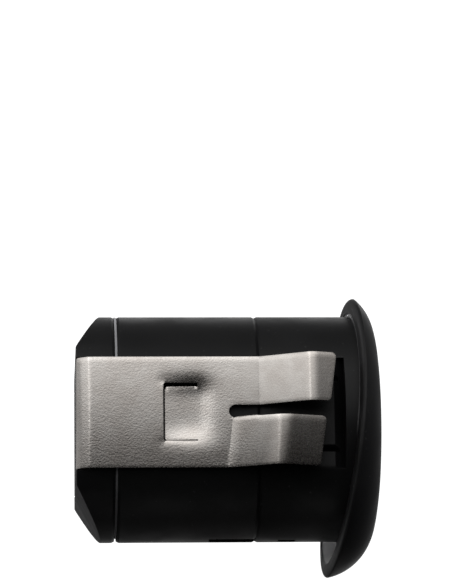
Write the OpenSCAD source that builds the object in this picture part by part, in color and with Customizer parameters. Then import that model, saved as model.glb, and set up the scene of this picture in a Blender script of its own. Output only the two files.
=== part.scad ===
// Ultrasonic parking sensor: a snap-in barrel with a tilted oval flange and two spring clips.
// Each piece is drawn with the barrel's axis on Z, the sensing face up and X towards the top of
// the bumper. as_mounted() then lays the axis along +X, so that Z is up as in the car.
// The origin is where the barrel's axis meets the seat plane at the back of the flange.

/* [Barrel] */
// outer diameter of the barrel
barrel_d = 23.4; // [23:0.1:26]
// depth of the two side flats that carry the clips
flat_depth = 1.45; // [1.2:0.05:1.6]
// wall above and below the inner cavity
wall_t = 1.7; // [1.5:0.05:2]
// wall between a side flat and the inner cavity
side_wall_t = 1.95; // [1.8:0.05:2.2]
// length from the seat plane to the front seam
front_len = 8.45; // [8.4:0.05:9.3]
// length of the middle housing
main_len = 14.45; // [14:0.05:18]
// length of the rear cap
cap_len = 4.1; // [3.8:0.1:5]
// how far the flats stop short of the seat plane
flat_stop = 0.4; // [0.3:0.05:0.6]
// width of the small bevel along each seam
seam_bevel = 0.14; // [0.08:0.02:0.2]

/* [Flange] */
// overhang of the flange past the barrel at each side
flange_side = 2.24; // [2:0.02:2.6]
// overhang of the flange past the barrel, mean of top and bottom
flange_rise = 2.88; // [2.6:0.02:3.2]
// how far the flange's centre lies below the axis
flange_drop = 0.92; // [0.7:0.02:1.1]
// tilt of the seat plane, top forward
flange_tilt = 5.5; // [3:0.5:6]
// radius of the rounded rim
rim_round = 0.5; // [0.4:0.05:0.6]
// share by which the rim is thicker at the top and thinner at the bottom
rim_lean = 0.4; // [0:0.05:0.5]
// width of the lip round the recess at the back of the flange, at the sides
lip_w = 0.9; // [0.8:0.05:1]
// depth of that recess
lip_depth = 0.8; // [0.5:0.05:1]
// height of the domed crown above the seat plane
crown_h = 3.84; // [3.6:0.02:4.2]
// distance from the bore's edge to the top of the crown
crown_edge = 0.5; // [0.4:0.05:0.6]

/* [Sensing face] */
// diameter of the membrane
membrane_d = 15.5; // [15:0.1:15.8]
// width of the groove round the membrane
groove_w = 1.4; // [1.2:0.05:1.5]
// depth of the groove below the crown
groove_depth = 2.3; // [1.8:0.1:2.6]
// how far the membrane lies below the crown
membrane_sink = 0.2; // [0.1:0.05:0.4]
// reach of the drain scoop past the bore
scoop_reach = 2.5; // [2:0.1:2.8]
// height of the scoop's low end above the groove's floor
scoop_lift = 0.3; // [0.1:0.05:0.6]

/* [Snap tongues] */
// width of each tongue
tongue_w = 2.6; // [2.2:0.1:3.2]
// length of each tongue behind the front seam
tongue_len = 4.7; // [4.4:0.1:5.2]
// thickness of each tongue
tongue_t = 0.9; // [0.7:0.05:1]
// gap round a tongue and its catch
snap_gap = 0.12; // [0.08:0.02:0.16]

/* [Spring clips] */
// thickness of the spring steel
clip_t = 0.5; // [0.4:0.05:0.6]
// width of a clip
clip_w = 11.2; // [10.6:0.1:11.3]
// length of the hook on the rear face
hook_len = 3.2; // [2.6:0.1:3.4]
// bend radius of the hook, inside
hook_r = 1; // [0.6:0.1:1.2]
// width of the slot between the two fingers
slot_w = 1.36; // [1:0.04:1.6]
// distance of the slot's closed end from the seat plane
slot_back = 11.65; // [11.3:0.05:12]
// distance of the long finger's bend from the seat plane
long_bend = 8.5; // [8.2:0.05:8.8]
// run of the long finger's ramp
long_ramp_run = 5.1; // [4.7:0.05:5.4]
// height of the long finger's ramp
long_ramp_h = 2.8; // [2.2:0.05:3.2]
// slope of the long finger's nose
long_nose_slope = 17; // [8:1:24]
// distance of the short finger's bend from the seat plane
short_bend = 11.45; // [11.4:0.05:11.7]
// run of the short finger's ramp
short_ramp_run = 5.05; // [4.6:0.05:5.4]
// height of the short finger's ramp
short_ramp_h = 2.45; // [2:0.05:2.8]
// slope of the short finger's nose
short_nose_slope = 19; // [10:1:26]
// skew of the short finger's bends
short_skew = 9; // [4:1:12]
// gap from the seat plane to the long finger's end, at its outer corner
long_gap = 2.04; // [2.02:0.02:2.6]
// gap from the seat plane to the short finger's end, at its inner corner
short_gap = 1.9; // [1.7:0.05:2.4]
// slant of both fingers' ends
end_slant = 8; // [5:1:10]
// corner radius of the fingers' ends
end_round = 0.42; // [0.2:0.02:0.6]
// inside radius of the fingers' bends
finger_r = 1.1; // [0.6:0.1:1.6]

/* [Lanced tang] */
// width of the tang's cut
tang_w = 6; // [5.4:0.1:6.4]
// length of the tang's cut
tang_len = 3.5; // [3:0.1:3.8]
// distance of the tang's hinge from the seat plane
tang_hinge = 14.75; // [14.4:0.05:15.2]
// how deep the free end is pressed in
tang_press = 0.7; // [0.5:0.05:0.75]
// width of the lanced gap
tang_kerf = 0.26; // [0.2:0.02:0.4]

/* [Rear cap and socket] */
// half height of the rear face between the sloped facets
face_half = 7; // [6.6:0.1:7.6]
// length of the sloped facets along the barrel
facet_len = 2.6; // [2.2:0.1:3]
// thickness of the rear sealing ring
seal_t = 0.22; // [0.16:0.02:0.3]
// width of the plug socket
socket_w = 10.4; // [9.6:0.1:10.8]
// height of the plug socket
socket_h = 8.2; // [7.6:0.1:8.6]
// depth of the plug socket
socket_depth = 6.6; // [6:0.1:7]
// wall of the socket inside the barrel
socket_wall = 0.9; // [0.8:0.05:1.1]
// width of the contact pins
pin_w = 0.64; // [0.5:0.02:0.8]
// spacing of the contact pins
pin_pitch = 2.5; // [2:0.1:3]
// how far the pins' tips stay inside the socket's mouth
pin_sink = 2; // [1.6:0.1:2.6]

/* [Transducer and board] */
// depth of the membrane cup
cup_depth = 9; // [8.4:0.1:9.2]
// wall of the membrane cup
cup_wall = 1.3; // [1:0.1:1.6]
// thickness of the membrane
membrane_t = 0.9; // [0.6:0.05:1.2]
// diameter of the ceramic disc
piezo_d = 8.4; // [7:0.1:10]
// thickness of the ceramic disc
piezo_t = 0.4; // [0.3:0.05:0.6]
// thickness of the damping pad
pad_t = 3; // [2:0.1:4]
// diameter of the leads
lead_d = 0.5; // [0.3:0.05:0.6]
// thickness of the circuit board
board_t = 1.2; // [1:0.1:1.6]

/* [Hidden] */
$fa = 3;
$fs = 0.2;

// clearances
fit_gap = 0.08;
seat_gap = 0.03;
clear = 1;

// the barrel
barrel_r = barrel_d / 2;
flat_y = barrel_r - flat_depth;
cavity_r = barrel_r - wall_t;
cavity_y = flat_y - side_wall_t;
front_seam_z = -front_len;
rear_seam_z = front_seam_z - main_len;
rear_z = rear_seam_z - cap_len;
flat_end_z = -flat_stop;
spigot_len = 2.5;
spigot_t = 1;

// the flange
flange_w = barrel_d + 2 * flange_side;
flange_h = barrel_d + 2 * flange_rise;
bore_r = membrane_d / 2 + groove_w;
crown_r = bore_r + crown_edge;
mouth_flat = 0.1;
edge_round = crown_edge - mouth_flat;
lip_r = flange_w / 2 - lip_w;
collar_sink = 1.3;
collar_top = crown_h - collar_sink;
around = 72;
dome_steps = 7;
rim_steps = 4;

// the sensing face
groove_z = crown_h - groove_depth;
scoop_low = groove_z + scoop_lift;
scoop_sink = 0.35;
scoop_high = crown_h - scoop_sink;
scoop_steps = 7;

// the tongues' windows and the keyways, as places along the tongue and along the collar
window_w = tongue_w / 2;
window_far_z = front_seam_z - 0.85 * tongue_len;
window_near_z = front_seam_z - 0.4 * tongue_len;
keyway_w = 0.6 * tongue_w;
keyway_far_z = 0.7 * front_seam_z;
keyway_near_z = 0.53 * front_seam_z;

// the side flats' grooves and relief
guide_x = 3.7;
guide_w = 0.8;
guide_depth = 0.8;
relief_w = 0.8;

// the transducer stack, from the membrane down
membrane_z = crown_h - membrane_sink;
cup_z = membrane_z - cup_depth;
cup_r = membrane_d / 2;
cup_in_r = cup_r - cup_wall;
collar_out = 0.62;
collar_h = 0.8;
edge_bevel = 0.25;
ring_wall = 0.42;
sleeve_r = cup_r + collar_out + seat_gap + ring_wall;
ring_floor_t = 1;
shoulder_z = cup_z - ring_floor_t;
end_wall_t = 1.1;
lead_hole_r = 3.2;
piezo_z = membrane_z - membrane_t - piezo_t;
pad_z = piezo_z - pad_t;

// the board and its leads
board_edge_gap = 0.22;
board_w = 2 * (cavity_y - fit_gap - spigot_t - board_edge_gap);
board_gap = 0.3;
board_front_z = shoulder_z - end_wall_t - board_gap;
socket_floor_z = rear_z + socket_depth;
board_rear_z = socket_floor_z + socket_wall + board_gap;
lead_x = (board_t + lead_d) / 2;
lead_y = 1.6;
rail_t = 0.9;
rail_w = 0.9;

// the contact pins
pin_count = 3;
pin_x = -2;
pin_foot_in = 1.1;
pin_foot_z = board_rear_z + pin_foot_in;
pin_stand = 0.6;

// the clips
clip_mid = flat_y + seat_gap + clip_t / 2;
hook_mid_r = hook_r + clip_t / 2;
finger_mid_r = finger_r + clip_t / 2;
slot_z = -slot_back + slot_w / 2;
lead_in = 1.6;
finger_back_z = -slot_back - lead_in;
finger_w = (clip_w - slot_w) / 2;
tang_free_z = -tang_hinge - tang_len;
tang_room = 0.25;
tang_round = 0.3;
tang_root = 0.6;

// the plug socket
socket_round = 1;
rib_h = 0.6;
rib_w = 0.8;
hook_room = 0.15;
core_depth = 1.4;

// the parts on the board
parts_z = (board_front_z + board_rear_z) / 2;
part_gap = 0.2;
chip_size = 5;
chip_h = 1.3;
chip_leg = 0.6;
chip_leg_t = 0.15;
chip_leg_w = 0.35;
chip_legs = 4;
chip_pitch = 1.1;
core_h = 4.4;
core_w = 3.6;
core_l = 5.2;
core_yoke = 0.95;
core_leg = 1.4;
core_window = 1;
storage_size = [1.9, 2, 3.6];
ceramic_size = [0.9, 1.25, 2];
ceramic_count = 3;
ceramic_pitch = 2.6;
cap_step = 0.08;
cap_end = 0.2;
lead_land = 2.2;
fill_sink = 0.5;

plastic_color = [0.09, 0.09, 0.1];
steel_color = [0.68, 0.66, 0.63];

// from the drawing frame to the frame in the car
module as_mounted() {
    rotate([0, 90, 0]) rotate([0, 0, 180]) children();
}

// a 2D section made solid from one height to another
module slab(low, high) {
    translate([0, 0, low]) linear_extrude(high - low) children();
}

// a profile in the (z, y) plane, made solid across the part along x
module across(width) {
    rotate([0, -90, 0]) linear_extrude(width, center = true) children();
}

// an outline in the (x, z) plane, made solid through a clip along y
module through_clip() {
    translate([0, flat_y, 0]) rotate([90, 0, 0]) linear_extrude(barrel_d, center = true) children();
}

// both sides of the barrel
module both_sides() {
    for (side = [0, 1]) mirror([0, side, 0]) children();
}

// top and bottom of the barrel
module top_and_bottom() {
    for (side = [0, 1]) mirror([side, 0, 0]) children();
}

// directions and rounded corners
function heading(a, b) = atan2(b.y - a.y, b.x - a.x);
function turned(a) = a > 180 ? a - 360 : a < -180 ? a + 360 : a;
function left_of(h) = [-sin(h), cos(h)];
function fillet(a, b, c, r, steps = 6) =
    let (
        h0 = heading(a, b),
        turn = turned(heading(b, c) - h0),
        side = sign(turn),
        start = b - r * tan(abs(turn) / 2) * [cos(h0), sin(h0)],
        centre = start + side * r * left_of(h0)
    )
    [for (k = [0 : steps]) let (h = h0 + turn * k / steps) concat(centre - side * r * left_of(h), h)];

// an open path with its inner corners rounded, as [x, y, heading] points
function bent(path, r) =
    let (last = len(path) - 1)
    concat(
        [concat(path[0], heading(path[0], path[1]))],
        [for (i = [1 : 1 : last - 1]) each fillet(path[i - 1], path[i], path[i + 1], r)],
        [concat(path[last], heading(path[last - 1], path[last]))]
    );

// a closed outline of [x, y, radius] corners
function rounded(corners) =
    let (n = len(corners), xy = [for (c = corners) [c.x, c.y]])
    [for (i = [0 : n - 1])
        each corners[i][2] == 0
            ? [xy[i]]
            : [for (p = fillet(xy[(i + n - 1) % n], xy[i], xy[(i + 1) % n], corners[i][2])) [p.x, p.y]]];

// sheet metal seen from its edge, along a bent path
module sheet_2d(path, r) {
    points = bent(path, r);
    sides = [for (s = [1, -1]) [for (p = points) [p.x, p.y] + s * clip_t / 2 * left_of(p[2])]];
    last = len(points) - 1;
    polygon(concat(sides[0], [for (i = [last : -1 : 0]) sides[1][i]]));
}

// a rectangle with rounded corners, centred
module rounded_2d(width, height, r) {
    polygon(rounded([
        for (c = [[1, 1], [-1, 1], [-1, -1], [1, -1]]) [c.x * width / 2, c.y * height / 2, r]
    ]));
}

// sections of the barrel and of its cavity
module barrel_2d(inset = 0) {
    intersection() {
        circle(r = barrel_r - inset);
        square([2 * barrel_d, 2 * (flat_y - inset)], center = true);
    }
}

module cavity_2d(inset = 0) {
    intersection() {
        circle(r = cavity_r - inset);
        square([2 * barrel_d, 2 * (cavity_y - inset)], center = true);
    }
}

// the bevel along a seam, as a ring to cut away
module seam_ring(z) {
    translate([0, 0, z]) rotate_extrude()
        polygon([
            [barrel_r + seam_bevel, -2 * seam_bevel],
            [barrel_r - seam_bevel, 0],
            [barrel_r + seam_bevel, 2 * seam_bevel]
        ]);
}

// the tube that enters the middle housing, from either end
module spigot(low, high) {
    slab(low, high) difference() {
        cavity_2d(fit_gap);
        cavity_2d(fit_gap + spigot_t);
    }
}

// a ring sector at the top of the barrel, between two radii and two heights
module wall_block(r_in, r_out, width, low, high) {
    intersection() {
        slab(low, high) difference() {
            circle(r = r_out);
            circle(r = r_in);
        }
        translate([0, -width / 2, low - clear]) cube([barrel_d, width, high - low + 2 * clear]);
    }
}

// the flange's rim: an ellipse in the tilted seat plane, drawn in by inset and lifted off the plane
function rim_point(a, inset, lift) =
    let (
        x = (flange_h / 2 - inset) * cos(a) * cos(flange_tilt) - flange_drop,
        y = (flange_w / 2 - inset) * sin(a)
    )
    [x, y, x * tan(flange_tilt) + lift * (1 + rim_lean * cos(a))];

// the dome: at each angle an arc that leaves the crown level and ends on the rim
function dome_point(a, share) =
    let (
        rim = rim_point(a, 0, rim_round),
        crown = [crown_r * cos(a), crown_r * sin(a), crown_h],
        out = [rim.x - crown.x, rim.y - crown.y],
        drop = crown.z - rim.z,
        r = (out * out + drop * drop) / (2 * drop),
        b = atan2(norm(out), r - drop) * (1 - share),
        reach = r * sin(b) / norm(out)
    )
    [crown.x + out.x * reach, crown.y + out.y * reach, crown.z - r * (1 - cos(b))];

// a closed solid through rings that all have the same number of points, lowest ring first
module rings_solid(rings) {
    n = len(rings[0]);
    last = len(rings) - 1;
    polyhedron(
        [for (ring = rings) each ring],
        concat(
            [[for (i = [0 : n - 1]) i]],
            [[for (i = [n - 1 : -1 : 0]) last * n + i]],
            [for (k = [0 : last - 1], i = [0 : n - 1])
                let (j = (i + 1) % n)
                [k * n + i, (k + 1) * n + i, (k + 1) * n + j, k * n + j]]
        )
    );
}

module dome() {
    angles = [for (i = [0 : around - 1]) 360 * i / around];
    rings_solid(concat(
        [[for (a = angles) rim_point(a, rim_round, -clear)]],
        [for (k = [1 : rim_steps])
            let (b = 90 * k / rim_steps)
            [for (a = angles) rim_point(a, rim_round * (1 - sin(b)), rim_round * (1 - cos(b)))]],
        [for (k = [1 : dome_steps]) [for (a = angles) dome_point(a, k / dome_steps)]]
    ));
}

// the scoop: a shallow bowl about an axis below the bore's, so that it opens as a crescent
module scoop() {
    rise = scoop_high - scoop_low;
    r = (scoop_reach * scoop_reach + rise * rise) / (2 * rise);
    top_angle = atan2(scoop_reach, r - rise);
    ramp = [for (k = [0 : scoop_steps])
        let (b = top_angle * k / scoop_steps)
        [bore_r - scoop_reach + r * sin(b), scoop_low + r * (1 - cos(b))]];
    translate([-scoop_reach, 0, 0]) rotate_extrude()
        polygon(concat([[0, crown_h + clear], [0, scoop_low]], ramp, [[bore_r, crown_h + clear]]));
}

module flange() {
    difference() {
        dome();
        rotate([0, -flange_tilt, 0]) {
            translate([0, 0, -barrel_d]) cube(2 * barrel_d, center = true);
            translate([-flange_drop, 0, -clear]) cylinder(r = lip_r, h = lip_depth + clear);
        }
    }
}

// the flats of the front housing: two guide grooves each, and a relief where the flat ends
module flat_details() {
    both_sides() translate([0, flat_y, 0]) {
        for (x = [-guide_x, guide_x])
            translate([x - guide_w / 2, -guide_depth, front_seam_z - clear])
                cube([guide_w, barrel_d, front_len + clear - flat_stop - relief_w / 2]);
        translate([-barrel_d / 2, -guide_depth, flat_end_z - relief_w])
            cube([barrel_d, barrel_d, relief_w]);
    }
}

// tongues that hold the front housing in the middle one, with the window for the catch
module snap_tongues() {
    top_and_bottom() difference() {
        wall_block(barrel_r - tongue_t, barrel_r, tongue_w, front_seam_z - tongue_len, front_seam_z + clear);
        wall_block(cavity_r, barrel_d, window_w, window_far_z, window_near_z);
    }
}

module front_housing() color(plastic_color) {
    difference() {
        union() {
            flange();
            slab(flat_end_z, collar_top) circle(r = barrel_r);
            slab(front_seam_z, flat_end_z) barrel_2d();
        }
        translate([0, 0, shoulder_z]) cylinder(r = sleeve_r, h = barrel_d);
        translate([0, 0, groove_z]) cylinder(r = bore_r, h = barrel_d);
        scoop();
        rounded_mouth();
        translate([0, 0, front_seam_z - clear]) cylinder(r = lead_hole_r, h = front_len);
        slab(front_seam_z - clear, shoulder_z - end_wall_t) cavity_2d(fit_gap + spigot_t);
        flat_details();
        seam_ring(front_seam_z);
        top_and_bottom() keyway();
    }
    spigot(front_seam_z - spigot_len, front_seam_z + clear / 2);
    snap_tongues();
}

// the soft edge at the mouth of the bore
module rounded_mouth() {
    translate([0, 0, crown_h - edge_round]) rotate_extrude() difference() {
        square([bore_r + edge_round, edge_round + clear]);
        translate([bore_r + edge_round, 0]) circle(r = edge_round);
    }
}

// a short slot in the collar, above the tongue
module keyway() {
    wall_block(barrel_r - tongue_t, barrel_d, keyway_w, keyway_far_z, keyway_near_z);
}

module main_housing() color(plastic_color) {
    low = rear_seam_z + seal_t / 2;
    tongue_in = barrel_r - tongue_t - snap_gap;
    difference() {
        slab(low, front_seam_z) barrel_2d();
        slab(low - clear, front_seam_z + clear) cavity_2d();
        top_and_bottom()
            wall_block(tongue_in, barrel_d, tongue_w + 2 * snap_gap,
                front_seam_z - tongue_len - snap_gap, front_seam_z + clear);
        both_sides() tang_recess();
        seam_ring(front_seam_z);
        seam_ring(low);
    }
    top_and_bottom() snap_catch(tongue_in);
    both_sides() board_rails();
}

// the catch that stands in a tongue's window
module snap_catch(base_r) {
    wall_block(base_r - fit_gap, barrel_r - tongue_t / 3, window_w - 2 * snap_gap,
        window_far_z + snap_gap, window_near_z - snap_gap);
}

// the recess that a clip's tang springs into
module tang_recess() {
    translate([-tang_w / 2 - tang_room, flat_y - tang_press - tang_room, tang_free_z - tang_room])
        cube([tang_w + 2 * tang_room, barrel_d, tang_len + 2 * tang_room]);
}

// two rails with the board's edge between them
module board_rails() {
    low = max(board_rear_z, rear_seam_z + spigot_len + seal_t);
    high = front_seam_z - spigot_len - seal_t;
    for (side = [0, 1]) mirror([side, 0, 0])
        translate([board_t / 2 + seat_gap, board_w / 2 - rail_w, low])
            cube([rail_t, cavity_y - board_w / 2 + rail_w + fit_gap, high - low]);
}

// the rear cap's side view, with its sloped facets
module cap_side_2d() {
    top = [[barrel_r, rear_seam_z], [barrel_r, rear_z + facet_len], [face_half, rear_z]];
    polygon(concat(top, [for (i = [2 : -1 : 0]) [-top[i].x, top[i].y]]));
}

// the plug socket, with two coding ribs on its upper wall
module socket_2d() {
    difference() {
        rounded_2d(socket_h, socket_w, socket_round);
        for (y = [-1, 1])
            translate([socket_h / 2, y * socket_w / 4]) square([2 * rib_h, rib_w], center = true);
    }
}

// the outside of the socket, within the barrel
module socket_shell_2d() {
    rounded_2d(socket_h + 2 * socket_wall, socket_w + 2 * socket_wall, socket_round + socket_wall);
}

// room for a clip's hook, with the corner eased for its bend
module hook_recess() {
    floor_z = rear_z + clip_t + seat_gap;
    low_y = clip_mid - hook_len - hook_room;
    across(clip_w + 2 * hook_room) polygon([
        [rear_z - clear, low_y],
        [floor_z, low_y],
        [floor_z, flat_y - hook_r],
        [floor_z + hook_r, flat_y],
        [floor_z + hook_r, barrel_d],
        [rear_z - clear, barrel_d]
    ]);
}

module rear_cap() color(plastic_color) {
    high = rear_seam_z - seal_t / 2;
    difference() {
        union() {
            intersection() {
                slab(rear_z, high) barrel_2d();
                rotate([90, 0, 0]) linear_extrude(2 * barrel_d, center = true) cap_side_2d();
            }
            spigot(high - clear / 2, rear_seam_z + spigot_len);
            slab(rear_z, socket_floor_z + socket_wall) socket_shell_2d();
        }
        slab(rear_z - clear, socket_floor_z) socket_2d();
        slab(high - core_depth, rear_seam_z) difference() {
            cavity_2d(fit_gap + spigot_t);
            socket_shell_2d();
        }
        both_sides() hook_recess();
        for (i = [1 : pin_count])
            pin_bar(i, socket_floor_z - clear, board_rear_z + clear, pin_w + seat_gap);
        seam_ring(high);
    }
}

module rear_seal() color([0.62, 0.62, 0.64])
    slab(rear_seam_z - seal_t / 2, rear_seam_z + seal_t / 2) difference() {
        barrel_2d(seam_bevel);
        cavity_2d();
    }

// outlines of the two fingers, seen from the side of the sensor
module long_outline_2d() {
    outer_z = clip_w / 2 * tan(flange_tilt) - long_gap;
    inner_z = outer_z - finger_w * tan(end_slant);
    polygon(rounded([
        [0, finger_back_z, 0],
        [clip_w / 2, finger_back_z, 0],
        [clip_w / 2, outer_z, end_round],
        [slot_w / 2, inner_z, end_round],
        [slot_w / 2, slot_z, 0],
        [0, slot_z, 0]
    ]));
}

module short_outline_2d() {
    inner_z = -slot_w / 2 * tan(flange_tilt) - short_gap;
    outer_z = inner_z - finger_w * tan(end_slant);
    polygon(rounded([
        [0, finger_back_z, 0],
        [0, slot_z, 0],
        [-slot_w / 2, slot_z, 0],
        [-slot_w / 2, inner_z, end_round],
        [-clip_w / 2, outer_z, end_round],
        [-clip_w / 2, finger_back_z, 0]
    ]));
}

// one finger: a lead-in, a ramp and a nose, bent from the sheet and cut to its outline.
// mid_x is where its bend lies at the stated distance, and skew turns its bends.
module finger(mid_x, bend, ramp_run, ramp_h, nose_slope, skew = 0) {
    nose_run = bend - ramp_run + clear;
    intersection() {
        translate([mid_x, 0, -bend]) rotate([0, -skew, 0]) across(3 * clip_w) sheet_2d([
            [bend + finger_back_z - clear, clip_mid],
            [0, clip_mid],
            [ramp_run, clip_mid + ramp_h],
            [ramp_run + nose_run, clip_mid + ramp_h - nose_run * tan(nose_slope)]
        ], finger_mid_r);
        through_clip() children();
    }
}

// the cut round the tang, or the tang itself when drawn in by the kerf
module tang_2d(inset, root_z) {
    half = tang_w / 2 - inset;
    polygon(rounded([
        [-half, root_z, 0],
        [half, root_z, 0],
        [half, tang_free_z + inset, tang_round],
        [-half, tang_free_z + inset, tang_round]
    ]));
}

// the tang: lanced out of the plate and pressed in, its free end towards the rear
module tang() {
    root_z = -tang_hinge + tang_root;
    intersection() {
        across(tang_w) sheet_2d([
            [root_z, clip_mid],
            [-tang_hinge, clip_mid],
            [tang_free_z, clip_mid - tang_press]
        ], finger_mid_r);
        through_clip() tang_2d(tang_kerf, root_z);
    }
}

// a spring clip on the side towards +Y
module spring_clip() color(steel_color) {
    difference() {
        union() {
            across(clip_w) sheet_2d([
                [rear_z + clip_t / 2, clip_mid - hook_len],
                [rear_z + clip_t / 2, clip_mid],
                [finger_back_z + lead_in / 2, clip_mid]
            ], hook_mid_r);
            finger(clip_w / 4, long_bend, long_ramp_run, long_ramp_h, long_nose_slope)
                long_outline_2d();
            finger(-clip_w / 4, short_bend, short_ramp_run, short_ramp_h, short_nose_slope, short_skew)
                short_outline_2d();
        }
        through_clip() {
            translate([0, slot_z]) circle(d = slot_w);
            tang_2d(0, -tang_hinge);
        }
    }
    tang();
}

module right_clip() spring_clip();

module left_clip() mirror([0, 1, 0]) spring_clip();

// the cup whose floor is the membrane, with a collar at its open end
module transducer_cup() color([0.12, 0.12, 0.125])
    rotate_extrude() polygon([
        [0, membrane_z],
        [cup_r - edge_bevel, membrane_z],
        [cup_r, membrane_z - edge_bevel],
        [cup_r, cup_z + collar_h],
        [cup_r + collar_out, cup_z + collar_h],
        [cup_r + collar_out, cup_z],
        [cup_in_r, cup_z],
        [cup_in_r, membrane_z - membrane_t],
        [0, membrane_z - membrane_t]
    ]);

// the soft ring between the cup and its sleeve, which also holds the cup's collar
module decoupling_ring() color([0.05, 0.05, 0.05])
    rotate_extrude() polygon([
        [cup_r + seat_gap, groove_z],
        [sleeve_r - seat_gap, groove_z],
        [sleeve_r - seat_gap, shoulder_z],
        [cup_in_r, shoulder_z],
        [cup_in_r, cup_z - seat_gap],
        [cup_r + collar_out + seat_gap, cup_z - seat_gap],
        [cup_r + collar_out + seat_gap, cup_z + collar_h + seat_gap],
        [cup_r + seat_gap, cup_z + collar_h + seat_gap]
    ]);

module piezo_disc() color([0.85, 0.82, 0.72])
    translate([0, 0, piezo_z]) cylinder(d = piezo_d, h = piezo_t);

// a disc that fills the cup from one height to another, with holes for the leads
module cup_layer(low, high) {
    slab(low, high) difference() {
        circle(r = cup_in_r - fit_gap);
        for (y = [-lead_y, lead_y]) translate([lead_x, y]) circle(d = lead_d + 2 * fit_gap);
    }
}

module damping_pad() color([0.3, 0.3, 0.32]) cup_layer(pad_z, piezo_z);

module backing_fill() color([0.75, 0.75, 0.78]) cup_layer(cup_z + fill_sink, pad_z);

// a lead from the ceramic, through the cup, onto the board
module lead(y) {
    low = board_front_z - lead_land;
    translate([lead_x, y, low]) cylinder(d = lead_d, h = piezo_z - low);
}

module live_lead() color([0.7, 0.1, 0.08]) lead(lead_y);

module ground_lead() color([0.08, 0.08, 0.08]) lead(-lead_y);

module circuit_board() color([0.1, 0.35, 0.2])
    difference() {
        translate([-board_t / 2, -board_w / 2, board_rear_z])
            cube([board_t, board_w, board_front_z - board_rear_z]);
        hole = pin_w + 2 * seat_gap;
        for (i = [1 : pin_count])
            translate([0, pin_y(i), pin_foot_z]) cube([2 * board_t, hole, hole], center = true);
    }

// a place on the board: above it, or below it when mirrored
module on_board(y, z, above = true) {
    translate([0, y, z]) mirror([above ? 0 : 1, 0, 0]) translate([board_t / 2, 0, 0]) children();
}

// where a part of that width stands, close to the rail at the board's edge
function edge_y(width) = board_w / 2 - rail_w - part_gap - width / 2;

// a box that stands on the board, centred across its seat
module standing(h, y, z) {
    translate([0, -y / 2, -z / 2]) cube([h, y, z]);
}

// the driver chip, with its legs in two rows
module driver_chip() color([0.06, 0.06, 0.07])
    on_board(0, parts_z, above = false) {
        translate([chip_leg_t, 0, 0]) standing(chip_h, chip_size, chip_size - 2 * chip_leg);
        for (i = [0 : chip_legs - 1], side = [-1, 1])
            translate([0, (i - (chip_legs - 1) / 2) * chip_pitch, side * (chip_size - chip_leg) / 2]) {
                standing(chip_leg_t, chip_leg_w, chip_leg);
                translate([0, 0, -side * chip_leg / 2]) standing(chip_h / 2, chip_leg_w, chip_leg);
            }
    }

// the transformer's ferrite core, with a window each side of its centre leg
module transformer_core() color([0.2, 0.19, 0.19])
    on_board(0, parts_z) difference() {
        standing(core_h, core_w, core_l);
        for (side = [-1, 1])
            translate([core_yoke, 0, side * (core_leg + core_window) / 2])
                standing(core_h - 2 * core_yoke, 2 * core_w, core_window);
    }

// the winding round the centre leg, through both windows
module transformer_coil() color([0.72, 0.4, 0.16])
    on_board(0, parts_z) translate([core_yoke + fit_gap, 0, 0]) difference() {
        standing(core_h - 2 * core_yoke - 2 * fit_gap, core_w + 2 * core_window - 2 * fit_gap,
            core_leg + 2 * core_window - 2 * fit_gap);
        translate([-clear, 0, 0])
            standing(core_h + 2 * clear, core_w + 2 * fit_gap, core_leg + 2 * fit_gap);
    }

// a chip capacitor: a body between two slightly larger end caps
module chip_capacitor(size) {
    end_l = cap_end * size.z;
    standing(size.x - cap_step, size.y - 2 * cap_step, size.z);
    for (side = [-1, 1])
        translate([0, 0, side * (size.z - end_l) / 2]) standing(size.x, size.y, end_l);
}

module storage_capacitor() color([0.82, 0.62, 0.2])
    on_board(edge_y(storage_size.y), parts_z, above = false) chip_capacitor(storage_size);

// ceramic capacitors in a row along the board's edge
module ceramic_capacitor(i) color([0.62, 0.5, 0.38])
    on_board(-edge_y(ceramic_size.y), parts_z + (i - (ceramic_count + 1) / 2) * ceramic_pitch)
        chip_capacitor(ceramic_size);

// the contact pins, in a row in the lower half of the socket
function pin_y(i) = (i - (pin_count + 1) / 2) * pin_pitch;

module pin_bar(i, low, high, w) {
    translate([pin_x - w / 2, pin_y(i) - w / 2, low]) cube([w, w, high - low]);
}

// a pin that runs from the socket to the board and up through it
module contact_pin(i) color([0.75, 0.68, 0.5]) {
    pin_bar(i, rear_z + pin_sink, pin_foot_z + pin_w / 2, pin_w);
    translate([pin_x - pin_w / 2, pin_y(i) - pin_w / 2, pin_foot_z - pin_w / 2])
        cube([board_t / 2 + pin_stand - pin_x + pin_w / 2, pin_w, pin_w]);
}

as_mounted() front_housing();
as_mounted() main_housing();
as_mounted() rear_cap();
as_mounted() rear_seal();
as_mounted() right_clip();
as_mounted() left_clip();
as_mounted() transducer_cup();
as_mounted() decoupling_ring();
as_mounted() piezo_disc();
as_mounted() damping_pad();
as_mounted() backing_fill();
as_mounted() live_lead();
as_mounted() ground_lead();
as_mounted() circuit_board();
as_mounted() driver_chip();
as_mounted() transformer_core();
as_mounted() transformer_coil();
as_mounted() storage_capacitor();
for (i = [1 : ceramic_count])
    as_mounted() ceramic_capacitor(i);
for (i = [1 : pin_count])
    as_mounted() contact_pin(i);
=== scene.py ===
import math

import bmesh
import bpy
from mathutils import Matrix, Quaternion, Vector
from mathutils.geometry import delaunay_2d_cdt


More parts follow.
